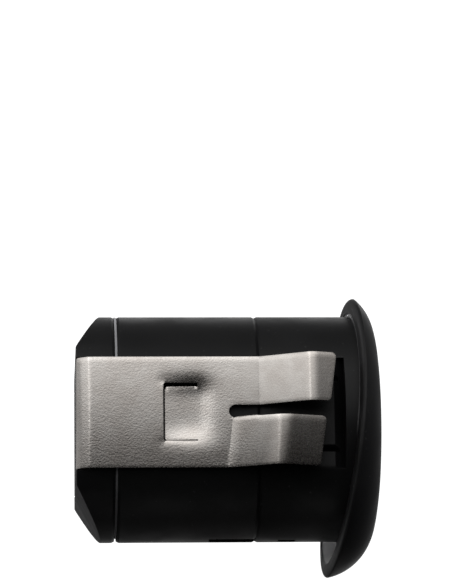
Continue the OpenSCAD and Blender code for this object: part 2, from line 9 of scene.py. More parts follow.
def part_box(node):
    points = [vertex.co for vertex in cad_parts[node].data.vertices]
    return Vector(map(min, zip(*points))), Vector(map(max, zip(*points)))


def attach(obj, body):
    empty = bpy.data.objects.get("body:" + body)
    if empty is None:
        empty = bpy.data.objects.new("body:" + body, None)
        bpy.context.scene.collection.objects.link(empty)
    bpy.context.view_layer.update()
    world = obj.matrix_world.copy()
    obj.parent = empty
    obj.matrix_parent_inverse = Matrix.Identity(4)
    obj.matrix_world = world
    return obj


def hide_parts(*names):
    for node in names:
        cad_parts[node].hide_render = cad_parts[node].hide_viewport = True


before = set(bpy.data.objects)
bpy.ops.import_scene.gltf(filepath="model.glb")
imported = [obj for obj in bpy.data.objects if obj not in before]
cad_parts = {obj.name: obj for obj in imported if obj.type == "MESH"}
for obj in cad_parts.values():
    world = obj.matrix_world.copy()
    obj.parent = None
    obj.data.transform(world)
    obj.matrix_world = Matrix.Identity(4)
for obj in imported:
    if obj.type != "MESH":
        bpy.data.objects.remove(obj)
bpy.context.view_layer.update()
scene = bpy.context.scene


# The studio: a white sweep behind the sensor and a dimmer room on the camera's side, bright above
# the horizon and dark below it, with a pale floor well under the sensor. Two soft lamps light the
# photographed side, and three narrow ones keep the face, the rear and the far side readable.

scene.view_settings.view_transform = "Standard"


def add_node(tree, kind, inputs=None, **settings):
    """A node with its settings, and its inputs given as values or as sockets to link."""
    node = tree.nodes.new(kind)
    for name, value in settings.items():
        setattr(node, name, value)
    for name, value in (inputs or {}).items():
        if isinstance(value, bpy.types.NodeSocket):
            tree.links.new(value, node.inputs[name])
        else:
            node.inputs[name].default_value = value
    return node


def math_node(tree, operation, *values):
    """The result of a sum, product or other operation on values or sockets."""
    return add_node(tree, "ShaderNodeMath", dict(enumerate(values)), operation=operation).outputs[0]


def fade(tree, value, start, end, at_start, at_end):
    """A soft change from at_start to at_end, as value goes from start to end."""
    ends = {"From Min": start, "From Max": end, "To Min": at_start, "To Max": at_end}
    node = add_node(tree, "ShaderNodeMapRange", {"Value": value, **ends}, interpolation_type="SMOOTHSTEP")
    return node.outputs[0]


def product(tree, values):
    """The product of several values or sockets."""
    result, *others = values
    for other in others:
        result = math_node(tree, "MULTIPLY", result, other)
    return result


world = bpy.data.worlds.new("studio")
world.use_nodes = True
scene.world = world
room = world.node_tree
room.nodes.clear()
toward = add_node(room, "ShaderNodeSeparateXYZ", {0: add_node(room, "ShaderNodeTexCoord").outputs["Generated"]})
along_barrel, behind, upward = toward.outputs


def room_part(*fades):
    """A part of the room: the product of soft changes of tone, each over one direction."""
    return product(room, [fade(room, *one) for one in fades])


left_to_right = (along_barrel, -0.1, 0.85, 0.92, 0.12)
near_left = (along_barrel, -0.35, -0.05, 0.76, 1.0)
left_glow = (along_barrel, -0.75, -0.5, 1.6, 1.0)
far_left = (along_barrel, -1.0, -0.82, 0.5, 1.0)
low_to_high = (upward, -0.1, 0.48, 0.012, 1.1)
back_dim = (behind, 0.3, 0.75, 1.0, 0.12)
walls = room_part(left_to_right, near_left, left_glow, far_left, low_to_high, back_dim)
overhead_loss = room_part((upward, 0.4, 0.85, 0.0, 0.94), (behind, -0.5, -0.1, 0.2, 1.0))
camera_side = math_node(room, "MULTIPLY", walls, math_node(room, "SUBTRACT", 1.0, overhead_loss))
high_window = room_part(
    (upward, 0.4, 0.58, 0.0, 0.7), (upward, 0.66, 0.82, 1.0, 0.0), (behind, -0.75, -0.35, 1.0, 0.0),
)
light_strip = room_part(
    (along_barrel, -0.52, -0.43, 0.0, 1.1), (along_barrel, -0.41, -0.32, 1.0, 0.0),
    (upward, -0.1, 0.25, 0.0, 1.0), (behind, -0.3, 0.1, 1.0, 0.0),
)
sweep = room_part(
    (behind, 0.25, 0.8, 0.0, 1.25),
    (along_barrel, -0.16, 0.0, 0.1, 1.0), (along_barrel, 0.2, 0.5, 1.0, 0.2),
    (upward, -0.4, 0.25, 0.12, 1.0), (upward, 0.45, 0.8, 1.0, 0.25),
)
rear_wall = room_part((along_barrel, -0.99, -0.92, 0.3, 0.0), (upward, -0.6, -0.3, 0.0, 1.0))
far_glow = room_part(
    (along_barrel, -0.6, -0.4, 0.4, 0.0), (behind, 0.3, 0.6, 0.0, 1.0), (upward, -0.7, -0.4, 0.0, 1.0),
)
room_tone = math_node(room, "ADD", camera_side, math_node(room, "ADD", high_window, light_strip))
for other_side in (sweep, rear_wall, far_glow):
    room_tone = math_node(room, "MAXIMUM", room_tone, other_side)
ray = add_node(room, "ShaderNodeLightPath").outputs
seen_tone = math_node(room, "MAXIMUM", room_tone, ray["Is Camera Ray"])
backdrop = add_node(room, "ShaderNodeBackground", {"Color": seen_tone})
add_node(room, "ShaderNodeOutputWorld", {"Surface": backdrop.outputs[0]})


def add_object(name, data):
    """An object in the scene that holds a mesh, a lamp or a camera."""
    item = bpy.data.objects.new(name, data)
    scene.collection.objects.link(item)
    return item


floor_z = -0.36
floor_half = 0.07
floor_mesh = bpy.data.meshes.new("floor")
floor_mesh.from_pydata(
    [(x * floor_half, y * floor_half, floor_z) for x, y in ((-1, -1), (1, -1), (1, 1), (-1, 1))],
    [],
    [(0, 1, 2, 3)],
)
floor = add_object("floor", floor_mesh)
floor_paper = bpy.data.materials.new("floor_paper")
floor_paper.use_nodes = True
paper = floor_paper.node_tree
paper.nodes.clear()
matt = add_node(paper, "ShaderNodeBsdfDiffuse", {"Color": (0.8, 0.8, 0.8, 1.0)})
lit = add_node(paper, "ShaderNodeEmission", {"Color": (1.0, 1.0, 1.0, 1.0)})
camera_ray = add_node(paper, "ShaderNodeLightPath").outputs["Is Camera Ray"]
paper_white = math_node(paper, "MULTIPLY", camera_ray, 0.9)
paper_mix = add_node(paper, "ShaderNodeMixShader", {0: paper_white, 1: matt.outputs[0], 2: lit.outputs[0]})
add_node(paper, "ShaderNodeOutputMaterial", {"Surface": paper_mix.outputs[0]})
floor_mesh.materials.append(floor_paper)


def soft_lamp(name, place, size, power, spread=180, mirrored=True):
    """A square lamp that faces the origin, seen in polished faces or only lighting the matt ones."""
    lamp = bpy.data.lights.new(name, "AREA")
    lamp.size = size
    lamp.energy = power
    lamp.spread = math.radians(spread)
    stand = add_object(name, lamp)
    stand.location = place
    stand.visible_glossy = mirrored
    stand.rotation_euler = (-Vector(place)).to_track_quat("-Z", "Y").to_euler()


soft_lamp("overhead_lamp", (-0.06, -0.05, 0.5), 0.5, 0.06)
soft_lamp("left_lamp", (-0.27, -0.46, 0.22), 0.36, 0.09)
soft_lamp("face_lamp", (0.6, 0.05, 0.14), 0.15, 0.15, spread=40, mirrored=False)
soft_lamp("rear_lamp", (-0.6, 0.06, 0.08), 0.15, 0.21, spread=40, mirrored=False)
soft_lamp("far_side_lamp", (-0.05, 0.6, 0.06), 0.15, 0.2, spread=40, mirrored=False)

frame_h_px = 584
camera_reach_px = 2938
long_sensor_side = 36
view_camera = bpy.data.cameras.new("camera")
view_camera.sensor_width = long_sensor_side
view_camera.lens = camera_reach_px / frame_h_px * long_sensor_side
camera = add_object("camera", view_camera)
camera.location = (-0.02953, -0.30115, -0.05104)
camera_aim = Vector((-0.01054, -0.0025, 0.01411))
camera_roll = Quaternion((0, 0, 1), math.radians(-0.79))
camera.rotation_euler = ((camera_aim - camera.location).to_track_quat("-Z", "Y") @ camera_roll).to_euler()
scene.camera = camera


# The front housing: one black moulding with the collar, the tilted oval flange, the domed face
# and two snap tongues. A round bore takes the membrane, and a shallow scoop drains it downwards.

MM = 0.001


def box_mm(node):
    """Lowest and highest corner of a solid, in millimetres."""
    return [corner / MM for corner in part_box(node)]


flange_low, flange_high = box_mm("front_housing")
rim_half_w = flange_high.y
rim_half_h = (flange_high.z - flange_low.z) / 2
rim_drop = -(flange_high.z + flange_low.z) / 2
rim_shift, rim_bow = 0.15, 0.7
seat_tilt, seat_yaw = math.radians(5), math.radians(2.5)
lip_r, recess_depth = rim_half_w - 0.74, 1.5


def new_finish(name):
    """A finish to fill in: its material, tree and shader, and the place on the piece that it covers."""
    material = bpy.data.materials.new(name)
    material.use_nodes = True
    tree = material.node_tree
    place = add_node(tree, "ShaderNodeTexCoord").outputs["Object"]
    return material, tree, tree.nodes["Principled BSDF"], place


def noise(tree, place, scale, detail, roughness=0.5):
    """Noise of a given fineness over the piece."""
    sizes = {"Scale": scale, "Detail": detail, "Roughness": roughness}
    return add_node(tree, "ShaderNodeTexNoise", {"Vector": place, **sizes}).outputs["Fac"]


def mixed_tone(tree, share, first, second):
    """A colour between two others."""
    mix = add_node(tree, "ShaderNodeMix", {"Factor": share, "A": first, "B": second}, data_type="RGBA")
    return mix.outputs["Result"]


def dress_shader(tree, shader, tone, roughness, height, strength, depth):
    """Gives the shader a tone, a roughness and, where it has a depth, a bump."""
    tree.links.new(tone, shader.inputs["Base Color"])
    tree.links.new(roughness, shader.inputs["Roughness"])
    if depth:
        bump = add_node(tree, "ShaderNodeBump", {"Strength": strength, "Distance": depth, "Height": height})
        tree.links.new(bump.outputs["Normal"], shader.inputs["Normal"])


def black_moulding():
    """Black plastic with a fine spark-eroded grain, slight tone changes, dust specks and a paler grey in the
    lip's recess that is partly dust and partly painted light.
    """
    material, tree, shader, place = new_finish("black_moulding")
    cloud = noise(tree, place, 260.0, 3.0)
    tone = mixed_tone(tree, cloud, (0.0075, 0.0075, 0.008, 1.0), (0.011, 0.011, 0.0115, 1.0))
    specks = fade(tree, noise(tree, place, 2600.0, 1.0), 0.72, 0.8, 0.0, 0.5)
    tone = mixed_tone(tree, specks, tone, (0.06, 0.06, 0.062, 1.0))

    spot_x, spot_y, spot_z = add_node(tree, "ShaderNodeSeparateXYZ", {0: place}).outputs
    side_spread = math_node(tree, "MULTIPLY", spot_y, spot_y)
    tilted = math_node(tree, "MULTIPLY_ADD", spot_z, -math.tan(seat_tilt), spot_x)
    swung = math_node(tree, "MULTIPLY_ADD", spot_y, math.tan(seat_yaw), tilted)
    off_seat = math_node(tree, "SUBTRACT", swung, rim_shift * MM)
    off_lip = math_node(tree, "MULTIPLY_ADD", side_spread, -rim_bow / (rim_half_w**2 * MM), off_seat)
    low_z = math_node(tree, "ADD", spot_z, rim_drop * MM)
    from_middle = math_node(tree, "SQRT", math_node(tree, "MULTIPLY_ADD", low_z, low_z, side_spread))
    # The lip's recess is painted a paler grey: partly dust, partly painted light standing in for the light that
    # the recess catches.
    recess_dust_and_light_share = 0.9
    recess_limits = (
        (off_lip, 0.12, 0.3, 0.0, recess_dust_and_light_share),
        (off_seat, recess_depth + 0.03, recess_depth + 0.08, 1.0, 0.0),
        (from_middle, lip_r - 1.7, lip_r - 1.5, 0.0, 1.0),
        (from_middle, lip_r + 0.03, lip_r + 0.08, 1.0, 0.0),
    )
    recess_dust_and_light = product(tree, [
        fade(tree, value, start * MM, end * MM, *amounts) for value, start, end, *amounts in recess_limits
    ])
    tone = mixed_tone(tree, recess_dust_and_light, tone, (0.22, 0.22, 0.223, 1.0))

    grain = noise(tree, place, 6500.0, 2.0)
    sheen = fade(tree, cloud, 0.3, 0.7, 0.4, 0.5)
    dress_shader(tree, shader, tone, sheen, grain, strength=0.22, depth=0.00002)
    shader.inputs["Specular IOR Level"].default_value = 0.28
    return material


plastic = black_moulding()

barrel_low, barrel_high = box_mm("main_housing")
barrel_r = barrel_high.z
flat_y = barrel_high.y
seam_bevel = 0.14
corner_angle = math.acos(flat_y / barrel_r)
fine_steps = [math.radians(step) for step in (-1.5, -1.0, -0.5, 0.0, 0.5, 1.0, 1.5)]
corners = [corner_angle, math.pi - corner_angle, math.pi + corner_angle, 2 * math.pi - corner_angle]
even_steps = [math.radians(a) for a in range(0, 360, 2)]
section_angles = sorted(even_steps + [c + s for c in corners for s in fine_steps])


def barrel_section(x, inset=0.0, flat=flat_y, edge_round=0.15):
    """The barrel's outline at one place along the axis: a circle with a flat at each side."""
    ring = []
    for a in section_angles:
        arc = barrel_r - inset
        side = (flat - inset) / max(abs(math.cos(a)), 1e-6)
        near = max(edge_round - abs(arc - side), 0.0)
        reach = min(arc, side) - near * near / (4 * edge_round)
        ring.append((x, reach * math.cos(a), reach * math.sin(a)))
    return ring


def skin(rings, looped=False):
    """Points and faces of the skin through rings of equal count, capped or joined end to end."""
    count = len(rings[0])
    points = [p for ring in rings for p in ring]
    steps = [(k, k + 1) for k in range(len(rings) - 1)]
    if looped:
        steps.append((len(rings) - 1, 0))
    faces = []
    for a, b in steps:
        for i in range(count):
            j = (i + 1) % count
            faces.append((a * count + i, a * count + j, b * count + j, b * count + i))
    if not looped:
        faces.append(tuple(range(count)))
        faces.append(tuple(range(len(points) - count, len(points))))
    return points, faces


def turn_outwards(mesh, join=0.0):
    """Joins points that meet, within a distance, and points all faces of a closed mesh outwards."""
    work = bmesh.new()
    work.from_mesh(mesh)
    if join:
        bmesh.ops.remove_doubles(work, verts=work.verts, dist=join)
    bmesh.ops.recalc_face_normals(work, faces=work.faces)
    work.to_mesh(mesh)
    work.free()


def solid(name, points, faces):
    """A closed mesh object, from points in millimetres."""
    mesh = bpy.data.meshes.new(name)
    mesh.from_pydata([[c * MM for c in p] for p in points], [], faces)
    turn_outwards(mesh, join=0.0005 * MM)
    return add_object(name, mesh)


def bake(piece):
    """Turns the piece's modifiers into plain mesh."""
    graph = bpy.context.evaluated_depsgraph_get()
    mesh = bpy.data.meshes.new_from_object(piece.evaluated_get(graph))
    piece.modifiers.clear()
    rough = piece.data
    piece.data = mesh
    bpy.data.meshes.remove(rough)


def combine(piece, operation, *others):
    """The piece with the others cut from it or joined to it."""
    for other in others:
        step = piece.modifiers.new(other.name, "BOOLEAN")
        step.operation = operation
        step.solver = "EXACT"
        step.object = other
    bake(piece)
    for other in others:
        bpy.data.objects.remove(other)


def complete(piece, material, slot, *nodes, sharp=30):
    """Finish, shading and frame calls of a piece that stands for CAD nodes."""
    piece.data.materials.clear()
    piece.data.materials.append(material)
    piece.data.shade_smooth()
    piece.data.set_sharp_from_angle(angle=math.radians(sharp))
    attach(piece, "root")
    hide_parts(*nodes)


def turned_solid(name, profile, axis_z=0.0, count=180):
    """A profile of (radius, x) points from axis to axis, spun about a line along the barrel."""
    turns = [2 * math.pi * i / count for i in range(count)]
    rings = [[(x, r * math.cos(a), axis_z + r * math.sin(a)) for a in turns] for r, x in profile]
    return solid(name, *skin(rings))


def block(name, low, high):
    """A box between two corners."""
    corners_8 = [(x, y, z) for x in (low[0], high[0]) for y in (low[1], high[1]) for z in (low[2], high[2])]
    sides = [(0, 1, 3, 2), (4, 6, 7, 5), (0, 4, 5, 1), (2, 3, 7, 6), (0, 2, 6, 4), (1, 5, 7, 3)]
    return solid(name, corners_8, sides)


def wall_block(name, r_in, r_out, width, low_x, high_x, down):
    """A piece of the barrel's wall at its top or bottom, between two radii."""
    rows = 12
    ring = []
    for r, order in ((r_in, range(rows + 1)), (r_out, range(rows, -1, -1))):
        for i in order:
            y = width * (i / rows - 0.5)
            ring.append((y, math.sqrt(r * r - y * y) * (-1 if down else 1)))
    return solid(name, *skin([[(x, y, z) for y, z in ring] for x in (low_x, high_x)]))


front_seam_x = barrel_high.x
crown_x = flange_high.x
rim_round, rim_lift = 0.7, 0.42
rim_lean = 0.1
membrane_r = 7.75
bore_r = membrane_r + 1.4
mouth_round = 0.4
crown_r = bore_r + 0.5
groove_x = crown_x - 2.3
scoop_reach = 2.5
tongue_w, tongue_len, tongue_t = 2.6, 4.7, 0.9
window_far_x, window_near_x = front_seam_x - 0.85 * tongue_len, front_seam_x - 0.4 * tongue_len


def rim_point(a, inset, lift):
    """A point on the flange's rim, so far in from its edge and forward of the seat."""
    y = (rim_half_w - inset) * math.sin(a)
    z = (rim_half_h - inset * math.cos(seat_tilt)) * math.cos(a) - rim_drop
    seat_x = rim_shift + z * math.tan(seat_tilt) - y * math.tan(seat_yaw) + rim_bow * math.sin(a) ** 2
    return seat_x + lift * (1 + rim_lean * math.cos(a)), y, z


def dome_point(a, share):
    """A point on the arc that leaves the crown level and ends on the rim."""
    rim_x, rim_y, rim_z = rim_point(a, 0.0, rim_lift)
    start_y, start_z = crown_r * math.sin(a), crown_r * math.cos(a)
    out_y, out_z = rim_y - start_y, rim_z - start_z
    run = math.hypot(out_y, out_z)
    drop = crown_x - rim_x
    r = (run * run + drop * drop) / (2 * drop)
    b = math.atan2(run, r - drop) * (1 - share)
    reach = r * math.sin(b) / run
    return crown_x - r * (1 - math.cos(b)), start_y + out_y * reach, start_z + out_z * reach


def front_moulding():
    """The flange with its dome and hollow back, joined to the collar, then bored, cut and tongued."""
    around, rim_steps, dome_steps = 180, 8, 22
    turns = [2 * math.pi * i / around for i in range(around)]
    rings = []
    for k in range(rim_steps + 1):
        b = math.pi / 2 * k / rim_steps
        inset, lift = rim_round * (1 - math.sin(b)), rim_lift * (1 - math.cos(b))
        rings.append([rim_point(a, inset, lift) for a in turns])
    for k in range(1, dome_steps + 1):
        rings.append([dome_point(a, k / dome_steps) for a in turns])
    moulding = solid("front_moulding", *skin(rings))

    edge_in, edge_depth, cone_in, clear = 0.2, 0.25, 1.3, 2
    recess = turned_solid("lip_recess", [
        (0, -clear), (lip_r, -clear), (lip_r, 0), (lip_r - edge_in, edge_depth),
        (lip_r - cone_in, recess_depth), (0, recess_depth),
    ])
    recess.data.transform(Matrix.Translation((0, 0, -rim_drop * MM)))
    recess.data.transform(Matrix.Rotation(seat_tilt, 4, "Y"))
    recess.data.transform(Matrix.Rotation(seat_yaw, 4, "Z"))
    recess.data.transform(Matrix.Translation((rim_shift * MM, 0, 0)))
    combine(moulding, "DIFFERENCE", recess)

    flat_end_x, collar_x = 0.1, crown_x - 1.3
    circle = dict(flat=2 * barrel_r)
    collar = solid("collar", *skin([
        barrel_section(front_seam_x, seam_bevel),
        barrel_section(front_seam_x + 2 * seam_bevel),
        barrel_section(flat_end_x),
        barrel_section(flat_end_x, **circle),
        barrel_section(collar_x, **circle),
    ]))
    combine(moulding, "UNION", collar)

    sleeve_r, sleeve_x = 8.82, crown_x - 10.2
    quarter = [math.radians(a) for a in range(0, 86, 12)]
    mouth = [
        (bore_r + mouth_round * (1 - math.cos(a)), crown_x - mouth_round * (1 - math.sin(a))) for a in quarter
    ]
    bore = turned_solid(
        "bore",
        [(0, sleeve_x), (sleeve_r, sleeve_x), (sleeve_r, groove_x), (bore_r, groove_x)]
        + mouth + [(mouth[-1][0], crown_x + 1), (0, crown_x + 1)],
    )
    low_x, high_x = groove_x + 0.3, crown_x - 0.35
    rise = high_x - low_x
    ramp_r = (scoop_reach**2 + rise**2) / (2 * rise)
    ramp_angle = math.atan2(scoop_reach, ramp_r - rise)
    ramp_steps = 16
    ramp = []
    for k in range(ramp_steps + 1):
        b = ramp_angle * k / ramp_steps
        ramp.append((bore_r - scoop_reach + ramp_r * math.sin(b), low_x + ramp_r * (1 - math.cos(b))))
    scoop = turned_solid(
        "scoop", [(0, low_x)] + ramp + [(bore_r, crown_x + 1), (0, crown_x + 1)], axis_z=-scoop_reach
    )
    combine(moulding, "DIFFERENCE", bore, scoop)

    groove_depth, groove_w, groove_z, relief_w = 1.0, 0.72, 3.64, 1.05
    flat_half = math.sqrt(barrel_r**2 - flat_y**2)
    cuts = []
    relief_start, in_y, out_y = flat_end_x - relief_w, flat_y - groove_depth, flat_y + 3
    relief = [(relief_start, flat_y), (flat_end_x, in_y), (flat_end_x, out_y), (relief_start, out_y)]
    for side in (-1, 1):
        cuts.append(solid("relief", *skin([
            [(x, side * y, z) for x, y in relief] for z in (-flat_half, flat_half)
        ])))
        for z in (-groove_z, groove_z):
            low_z, high_z = z - groove_w / 2, z + groove_w / 2
            groove = [(flat_y, high_z), (in_y, low_z), (out_y, low_z), (out_y, high_z)]
            cuts.append(solid("guide_groove", *skin([
                [(x, side * y, z) for y, z in groove] for x in (front_seam_x - 1, flat_end_x - relief_w / 2)
            ])))
    keyway_w, keyway_far_x, keyway_near_x = 0.6 * tongue_w, 0.725 * front_seam_x, 0.51 * front_seam_x
    for down in (False, True):
        cuts.append(wall_block(
            "keyway", barrel_r - tongue_t, barrel_r + 1, keyway_w, keyway_far_x, keyway_near_x, down
        ))
    combine(moulding, "DIFFERENCE", *cuts)

    flush = 0.3
    for down in (False, True):
        tongue = wall_block(
            "tongue", barrel_r - tongue_t, barrel_r - flush, tongue_w,
            front_seam_x - tongue_len, front_seam_x + 0.6, down,
        )
        window = wall_block(
            "window", barrel_r - 2 * tongue_t, barrel_r + 1, tongue_w / 2, window_far_x, window_near_x, down
        )
        combine(tongue, "DIFFERENCE", window)
        combine(moulding, "UNION", tongue)
    return moulding


complete(front_moulding(), plastic, "housing", "front_housing")


# The membrane cup and what sits in it: a turned aluminium cup painted matt black, held in a soft
# ring, with the ceramic disc bonded inside its floor and a foam pad and silicone fill behind that.

def geometry_tree(name, given, sizes, made):
    """A geometry tree with named sizes and a finish, and the sockets of its inputs."""
    tree = bpy.data.node_groups.new(name, "GeometryNodeTree")
    for socket, kind in ((given, "Geometry"), *sizes, ("Finish", "Material")):
        tree.interface.new_socket(socket, in_out="INPUT", socket_type="NodeSocket" + kind)
    tree.interface.new_socket(made, in_out="OUTPUT", socket_type="NodeSocketGeometry")
    return tree, add_node(tree, "NodeGroupInput").outputs


def end_tree(tree, geometry, finish, made):
    """Ends a geometry tree in plain geometry with its finish."""
    whole = add_node(tree, "GeometryNodeRealizeInstances", {"Geometry": geometry})
    dressed = add_node(tree, "GeometryNodeSetMaterial", {"Geometry": whole.outputs[0], "Material": finish})
    add_node(tree, "NodeGroupOutput", {made: dressed.outputs[0]})


def turned_tree():
    """Spins an open or closed profile about the X axis, with its corners rounded."""
    sizes = (("Edge radius", "Float"), ("Segments", "Int"), ("Spin radius", "Float"))
    tree, given = geometry_tree("turned_piece", "Profile", sizes, "Piece")
    profile = add_node(tree, "GeometryNodeMeshToCurve", {"Mesh": given["Profile"]})
    rounding = {"Radius": given["Edge radius"], "Limit Radius": True, "Count": 4}
    eased = add_node(tree, "GeometryNodeFilletCurve", {"Curve": profile.outputs[0], **rounding}, mode="POLY")
    circle = {"Resolution": given["Segments"], "Radius": given["Spin radius"]}
    path = add_node(tree, "GeometryNodeCurvePrimitiveCircle", circle, mode="RADIUS")
    swept = {"Curve": path.outputs[0], "Profile Curve": eased.outputs[0]}
    spun = add_node(tree, "GeometryNodeCurveToMesh", swept)
    on_axis = (0.0, math.pi / 2, 0.0)
    laid = add_node(tree, "GeometryNodeTransform", {"Geometry": spun.outputs[0], "Rotation": on_axis})
    closed = add_node(tree, "GeometryNodeMergeByDistance", {"Geometry": laid.outputs[0], "Distance": 0.000002})
    end_tree(tree, closed.outputs[0], given["Finish"], "Piece")
    return tree


turning = turned_tree()
spin_radius = 0.01


def set_inputs(modifier, tree, values):
    """Sets a node tree's named inputs on its modifier."""
    for item in tree.interface.items_tree:
        if item.item_type == "SOCKET" and item.in_out == "INPUT" and item.name in values:
            modifier[item.identifier] = values[item.name]


def turned_piece(name, profile, material, slot, node, edge, closed=False):
    """A piece turned from a profile of (radius, x) points, in millimetres."""
    count = len(profile)
    edges = [(i, (i + 1) % count) for i in range(count if closed else count - 1)]
    mesh = bpy.data.meshes.new(name)
    mesh.from_pydata([(r * MM - spin_radius, -x * MM, 0.0) for r, x in profile], edges, [])
    piece = add_object(name, mesh)
    spin = piece.modifiers.new("turning", "NODES")
    spin.node_group = turning
    set_inputs(spin, turning, {
        "Edge radius": edge * MM, "Segments": 160, "Spin radius": spin_radius, "Finish": material,
    })
    bake(piece)
    turn_outwards(piece.data)
    complete(piece, material, slot, node)


def plain_finish(name, dark, pale, roughness, patch=500.0, grain=4000.0, bump_depth=0.0, metallic=0.0):
    """A finish with a soft change of tone and a fine grain."""
    material, tree, shader, place = new_finish(name)
    tone = mixed_tone(tree, noise(tree, place, patch, 3.0), (*dark, 1.0), (*pale, 1.0))
    fine = noise(tree, place, grain, 2.0)
    change = 0.05
    sheen = fade(tree, fine, 0.3, 0.7, roughness - change, roughness + change)
    dress_shader(tree, shader, tone, sheen, fine, strength=0.5, depth=bump_depth)
    shader.inputs["Metallic"].default_value = metallic
    return material


cup_low, cup_high = box_mm("transducer_cup")
ring_low, ring_high = box_mm("decoupling_ring")
collar_r = cup_high.y
cup_inner_r = membrane_r - 1.3
floor_t = 0.9
collar_h = 0.8
snug = 0.03
matt_paint = plain_finish(
    "matt_black_paint", (0.0105, 0.0108, 0.011), (0.0165, 0.0168, 0.017), 0.56, 180.0, 9000.0, 0.00001
)
soft_rubber = plain_finish(
    "soft_black_rubber", (0.004, 0.004, 0.004), (0.008, 0.008, 0.008), 0.7, 300.0, 7000.0, 0.00002
)
collar_x, cup_floor_x = cup_low.x + collar_h, cup_high.x - floor_t
turned_piece("membrane_cup", [
    (0, cup_high.x), (membrane_r, cup_high.x), (membrane_r, collar_x), (collar_r, collar_x),
    (collar_r, cup_low.x), (cup_inner_r, cup_low.x), (cup_inner_r, cup_floor_x), (0, cup_floor_x),
], matt_paint, "membrane", "transducer_cup", edge=0.22)
turned_piece("soft_ring", [
    (membrane_r + snug, ring_high.x), (ring_high.y, ring_high.x),
    (ring_high.y, ring_low.x), (cup_inner_r, ring_low.x),
    (cup_inner_r, cup_low.x - snug), (collar_r + snug, cup_low.x - snug),
    (collar_r + snug, collar_x + snug), (membrane_r + snug, collar_x + snug),
], soft_rubber, "soft_ring", "decoupling_ring", edge=0.08, closed=True)

ceramic_low, ceramic_high = box_mm("piezo_disc")
fired_ceramic = plain_finish(
    "fired_ceramic", (0.62, 0.6, 0.53), (0.74, 0.71, 0.64), 0.5, 900.0, 6000.0, 0.00001
)
turned_piece("ceramic_disc", [
    (0, ceramic_high.x), (ceramic_high.y, ceramic_high.x),
    (ceramic_high.y, ceramic_low.x), (0, ceramic_low.x),
], fired_ceramic, "ceramic", "piezo_disc", edge=0.06)


def keep_solid(node, material):
    """Dresses a solid that keeps its own shape."""
    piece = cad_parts[node]
    piece.data.materials.clear()
    piece.data.materials.append(material)
    weld = piece.modifiers.new("joined", "WELD")
    weld.merge_threshold = 0.001 * MM
    edge = piece.modifiers.new("eased_edges", "BEVEL")
    edge.width = 0.04 * MM
    edge.segments = 2
    edge.limit_method = "ANGLE"
    edge.angle_limit = math.radians(40)


foam = plain_finish("foam", (0.1, 0.1, 0.11), (0.2, 0.2, 0.21), 0.9, 1500.0, 2500.0, 0.00008)
keep_solid("damping_pad", foam)
keep_solid("backing_fill", plain_finish("silicone", (0.5, 0.5, 0.52), (0.58, 0.58, 0.6), 0.35, 400.0, 3000.0))


# The leads and the board: two insulated wires from the ceramic, soldered to a green glass-fibre
# board that slides between rails in the barrel. It carries the driver chip, transformer and capacitors.

keep_solid("live_lead", plain_finish("red_insulation", (0.5, 0.04, 0.03), (0.6, 0.06, 0.04), 0.4))
keep_solid("ground_lead", plain_finish("black_insulation", (0.012, 0.012, 0.012), (0.02, 0.02, 0.02), 0.4))
keep_solid("circuit_board", plain_finish("green_resist", (0.015, 0.12, 0.045), (0.02, 0.17, 0.06), 0.35, 700.0))
keep_solid("driver_chip", plain_finish("chip_moulding", (0.012, 0.012, 0.013), (0.02, 0.02, 0.021), 0.6))
keep_solid("transformer_core", plain_finish("ferrite", (0.05, 0.048, 0.047), (0.085, 0.082, 0.08), 0.6, 1200.0))
enamelled_copper = plain_finish("enamelled_copper", (0.42, 0.14, 0.04), (0.6, 0.22, 0.07), 0.3, metallic=1.0)
keep_solid("transformer_coil", enamelled_copper)
keep_solid("storage_capacitor", plain_finish("amber_moulding", (0.5, 0.26, 0.03), (0.62, 0.33, 0.05), 0.45))
brown_ceramic = plain_finish("brown_ceramic", (0.3, 0.2, 0.12), (0.4, 0.28, 0.17), 0.5)
for index in (1, 2, 3):
    keep_solid(f"ceramic_capacitor_{index}", brown_ceramic)


# The main housing: the black middle of the barrel, a moulded tube with a flat at each side. Its
# ends have a small bevel at the seams, and notches at top and bottom take the front's tongues.

def middle_moulding():
    """The tube, notched for the tongues and the clips' tangs, with a catch for each tongue."""
    cavity_r, cavity_y = 10.0, 8.3
    rear_x, front_x = barrel_low.x, barrel_high.x
    wall = barrel_r - cavity_r
    inner_flat = cavity_y + wall
    moulding = solid("middle_moulding", *skin([
        barrel_section(rear_x, seam_bevel),
        barrel_section(rear_x + 2 * seam_bevel),
        barrel_section(front_x - 2 * seam_bevel),
        barrel_section(front_x, seam_bevel),
        barrel_section(front_x, wall, inner_flat),
        barrel_section(rear_x, wall, inner_flat),
    ], looped=True))
    gap = 0.12
    notch_r = barrel_r - tongue_t - gap
    notch_w, notch_far_x = tongue_w + 2 * gap, front_x - tongue_len - gap
    notches = [
        wall_block("notch", notch_r, barrel_r + 1, notch_w, notch_far_x, front_x + 1, down)
        for down in (False, True)
    ]
    tang_rooms = ((0.95, 3.25, -14.5), (0.4, 4.6, -11.6))
    tang_far_x = -18.5
    for side in (-1, 1):
        for depth, half, room_near_x in tang_rooms:
            ends = sorted((side * (flat_y - depth), side * (flat_y + 2)))
            notches.append(block("tang_recess", (tang_far_x, ends[0], -half), (room_near_x, ends[1], half)))
    combine(moulding, "DIFFERENCE", *notches)
    catch_w, catch_low_r, catch_high_r = tongue_w / 2 - 2 * gap, notch_r - 0.1, barrel_r - tongue_t / 3
    catches = [
        wall_block("catch", catch_low_r, catch_high_r, catch_w, window_far_x + gap, window_near_x - gap, down)
        for down in (False, True)
    ]
    combine(moulding, "UNION", *catches)
    return moulding


complete(middle_moulding(), plastic, "housing", "main_housing", sharp=20)


# The rear seal: a thin pale rubber ring, pressed between the middle and the rear moulding so that
# only its edge shows, as a light line round the barrel.

